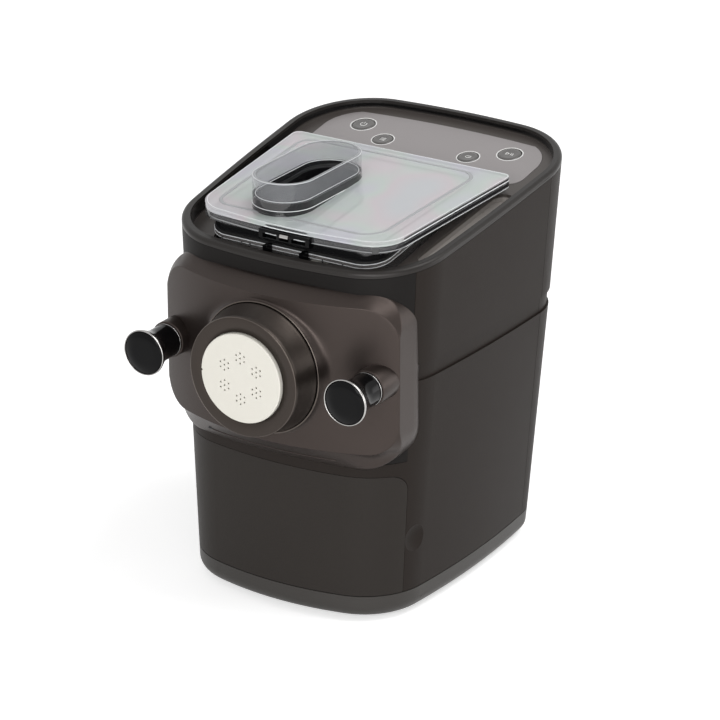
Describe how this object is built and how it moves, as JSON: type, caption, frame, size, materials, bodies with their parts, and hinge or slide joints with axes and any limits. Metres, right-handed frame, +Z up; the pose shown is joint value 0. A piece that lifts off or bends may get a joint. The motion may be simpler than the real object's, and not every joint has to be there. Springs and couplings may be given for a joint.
{
  "type": "electric pasta maker",
  "caption": "Electric pasta maker: mixing bowl under a hinged clear lid with filling funnel, extrusion nozzle behind a bolted front panel, accessory drawer below",
  "frame": {"origin": "on the table, under the middle of the bounding box", "axes": "+X to the machine's right as seen from its front, +Y to its back, +Z up"},
  "size_m": [0.2142, 0.2846, 0.297],
  "materials": {
    "casing": "warm dark grey, fine texture",
    "drawer_dark": "warm dark grey, fine texture",
    "bronze": "satin bronze-grey metallic paint",
    "nut_dark": "satin bronze-grey metallic paint",
    "panel_satin": "satin warm grey",
    "button_dark": "gloss dark",
    "clear": "clear moulded plastic",
    "inner_black": "gloss black",
    "gloss_black": "deep gloss black",
    "chrome": "polished",
    "steel": "turned",
    "rubber": "smooth",
    "nozzle_grey": "smooth",
    "disc_white": "off-white, smooth",
    "gear_white": "natural, smooth",
    "circuit": "lacquered",
    "motor_can": "satin",
    "brass": "sintered"
  },
  "bodies": {
    "casing": {"base_pan": "casing", "rubber_feet": "rubber", "load_cells": "steel", "base_screws": "steel", "lower_shell": "casing", "left_side_panel": "casing", "right_side_panel": "casing", "front_frame": "inner_black", "rear_cover": "casing", "top_frame": "casing", "control_panel": "panel_satin", "switch_board": "circuit", "hinge_pins": "steel", "latch_keeper": "inner_black", "lid_switch": "inner_black", "mixing_bowl": "clear", "bowl_gasket": "rubber", "shaft_seal": "rubber", "extrusion_tube": "nozzle_grey", "panel_studs": "steel", "drawer_bay": "inner_black", "drawer_runners": "rubber", "chassis": "inner_black", "gearbox_plate": "steel", "motor": "motor_can", "shaft_bearings": "brass", "main_board": "circuit", "power_inlet": "inner_black"},
    "lid_body": {"lid": "clear", "latch_pin": "steel"},
    "latch": {"lid_latch": "inner_black", "latch_roller": "chrome"},
    "nut": {"ring_nut": "nut_dark", "shaping_disc": "disc_white"},
    "panel": {"front_panel": "bronze"},
    "knob_left": {"left_knob": "gloss_black", "left_knob_ring": "chrome"},
    "knob_right": {"right_knob": "gloss_black", "right_knob_ring": "chrome"},
    "drawer": {"drawer_front": "drawer_dark", "drawer_tray": "casing"},
    "power_key": {"power_button": "button_dark"},
    "menu_key": {"menu_button": "button_dark"},
    "weigh_key": {"weigh_button": "button_dark"},
    "start_key": {"start_button": "button_dark"},
    "drive": {"drive_shaft": "steel", "output_gear": "gear_white", "mixing_paddle": "disc_white", "extrusion_screw": "disc_white"},
    "idler": {"idler_gear": "gear_white", "idler_axle": "steel"},
    "rotor": {"motor_shaft": "steel", "motor_pinion": "gear_white", "cooling_fan": "inner_black"}
  },
  "joints": [
    {"name": "lid_hinge", "type": "hinge", "parent": "casing", "child": "lid_body", "pos_m": [0, 0.0595, 0.2755], "axis": [-1, 0, 0], "range_deg": [0, 95]},
    {"name": "latch_tilt", "type": "hinge", "parent": "lid_body", "child": "latch", "pos_m": [0, -0.0843, 0.26789], "axis": [-1, 0, 0], "range_deg": [0, 6], "stiffness_Nm_per_rad": 0.5},
    {"name": "nut_turn", "type": "hinge", "parent": "casing", "child": "nut", "pos_m": [0, -0.12, 0.1837], "axis": [0, -1, 0], "range_deg": [0, 720]},
    {"name": "panel_slide", "type": "slide", "parent": "casing", "child": "panel", "axis": [0, -1, 0], "range_m": [0, 0.07]},
    {"name": "left_knob_turn", "type": "hinge", "parent": "panel", "child": "knob_left", "pos_m": [-0.0803, -0.12, 0.1837], "axis": [0, -1, 0], "range_deg": [0, 900]},
    {"name": "right_knob_turn", "type": "hinge", "parent": "panel", "child": "knob_right", "pos_m": [0.0803, -0.12, 0.1837], "axis": [0, -1, 0], "range_deg": [0, 900]},
    {"name": "drawer_slide", "type": "slide", "parent": "casing", "child": "drawer", "axis": [0, -1, 0], "range_m": [0, 0.11]},
    {"name": "power_press", "type": "slide", "parent": "casing", "child": "power_key", "axis": [0, 0, -1], "range_m": [0, 0.0006], "stiffness_N_per_m": 800},
    {"name": "menu_press", "type": "slide", "parent": "casing", "child": "menu_key", "axis": [0, 0, -1], "range_m": [0, 0.0006], "stiffness_N_per_m": 800},
    {"name": "weigh_press", "type": "slide", "parent": "casing", "child": "weigh_key", "axis": [0, 0, -1], "range_m": [0, 0.0006], "stiffness_N_per_m": 800},
    {"name": "start_press", "type": "slide", "parent": "casing", "child": "start_key", "axis": [0, 0, -1], "range_m": [0, 0.0006], "stiffness_N_per_m": 800},
    {"name": "drive_spin", "type": "hinge", "parent": "casing", "child": "drive", "pos_m": [0, 0.05, 0.1837], "axis": [0, 1, 0], "continuous": true},
    {"name": "idler_spin", "type": "hinge", "parent": "casing", "child": "idler", "pos_m": [0, 0.05, 0.1297], "axis": [0, 1, 0], "continuous": true},
    {"name": "motor_spin", "type": "hinge", "parent": "casing", "child": "rotor", "pos_m": [0, 0.05, 0.0847], "axis": [0, 1, 0], "continuous": true}
  ],
  "couplings": [
    {"joint": "idler_spin", "follows": "drive_spin", "ratio": -3.5},
    {"joint": "motor_spin", "follows": "drive_spin", "ratio": 14}
  ]
}
